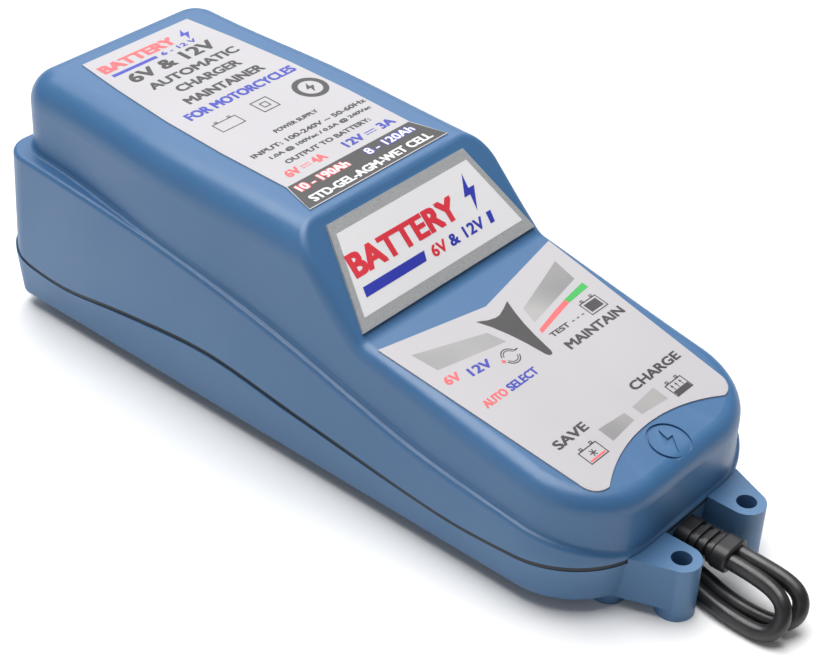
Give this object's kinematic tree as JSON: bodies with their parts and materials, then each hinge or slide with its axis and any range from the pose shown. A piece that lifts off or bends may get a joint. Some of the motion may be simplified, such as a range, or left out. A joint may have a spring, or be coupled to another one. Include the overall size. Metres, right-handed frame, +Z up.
{
  "type": "motorcycle battery charger",
  "caption": "Wedge-nosed battery charger case with mounting ears, a sloping status panel, a mains cord and a battery lead.",
  "frame": {"origin": "on the floor, under the middle of the case's box, cords left out", "axes": "+X to the right of the panel, +Y towards the tall back end, +Z up; the cords leave at the -Y end"},
  "size_m": [0.1449, 0.2668, 0.0707],
  "materials": {
    "case_blue": "fine satin moulded plastic",
    "base_blue": "fine satin moulded plastic",
    "gasket_rubber": "matt rubber",
    "label_film": "printed film, satin",
    "badge_film": "domed film with a metallic border",
    "overlay_film": "printed polyester film, satin",
    "clear_lens": "polished clear plastic",
    "led_body": "clear epoxy",
    "circuit_board": "glass-fibre board with solder mask",
    "insulator": "fish paper",
    "steel_screw": "zinc-plated steel",
    "ferrite": "pressed ferrite",
    "copper_winding": "enamelled copper wire",
    "capacitor_sleeve": "printed sleeve over an aluminium can",
    "component_black": "moulded epoxy",
    "component_yellow": "moulded case",
    "varistor_blue": "dipped epoxy",
    "sink_aluminium": "black-edged extrusion",
    "fuse_glass": "glass tube with nickel caps",
    "clip_metal": "tinned spring brass",
    "terminal_green": "moulded nylon",
    "wire_insulation": "PVC insulation",
    "cord_rubber": "black flexible PVC with a soft gloss",
    "grip_rubber": "matt moulded rubber",
    "tie_plastic": "hook-and-loop strap",
    "plug_plastic": "moulded PVC",
    "pin_metal": "nickel plate"
  },
  "bodies": {
    "root": {"upper_case": "case_blue", "lower_case": "base_blue", "seam_gasket": "gasket_rubber", "rating_label": "label_film", "badge_label": "badge_film", "control_overlay": "overlay_film", "voltage_window_left": "clear_lens", "voltage_window_right": "clear_lens", "charge_window_left": "clear_lens", "charge_window_right": "clear_lens", "display_board": "circuit_board", "status_leds": "led_body", "light_guides": "clear_lens", "display_screws": "steel_screw", "main_board": "circuit_board", "insulating_sheet": "insulator", "transformer_core": "ferrite", "transformer_winding": "copper_winding", "choke_core": "ferrite", "choke_winding": "copper_winding", "output_choke": "ferrite", "bulk_capacitor": "capacitor_sleeve", "output_capacitors": "capacitor_sleeve", "x_capacitor": "component_yellow", "bridge_rectifier": "component_black", "switch_transistor": "component_black", "output_diode": "component_black", "primary_heat_sink": "sink_aluminium", "secondary_heat_sink": "sink_aluminium", "mains_fuse": "fuse_glass", "fuse_clips": "clip_metal", "varistor": "varistor_blue", "output_relay": "component_black", "microcontroller": "component_black", "optocoupler": "component_black", "terminal_block": "terminal_green", "mains_wires": "wire_insulation", "battery_wires": "wire_insulation", "board_link": "wire_insulation", "case_screws": "steel_screw", "board_screws": "steel_screw", "cord_grip": "grip_rubber", "mains_cord": "cord_rubber", "mains_hank": "cord_rubber", "mains_tail": "cord_rubber", "mains_tie": "tie_plastic", "mains_plug": "plug_plastic", "plug_pins": "pin_metal", "battery_lead": "cord_rubber", "lead_hank": "cord_rubber", "lead_tail": "cord_rubber", "lead_tie": "tie_plastic", "lead_connector": "plug_plastic", "connector_contacts": "pin_metal"}
  },
  "joints": []
}
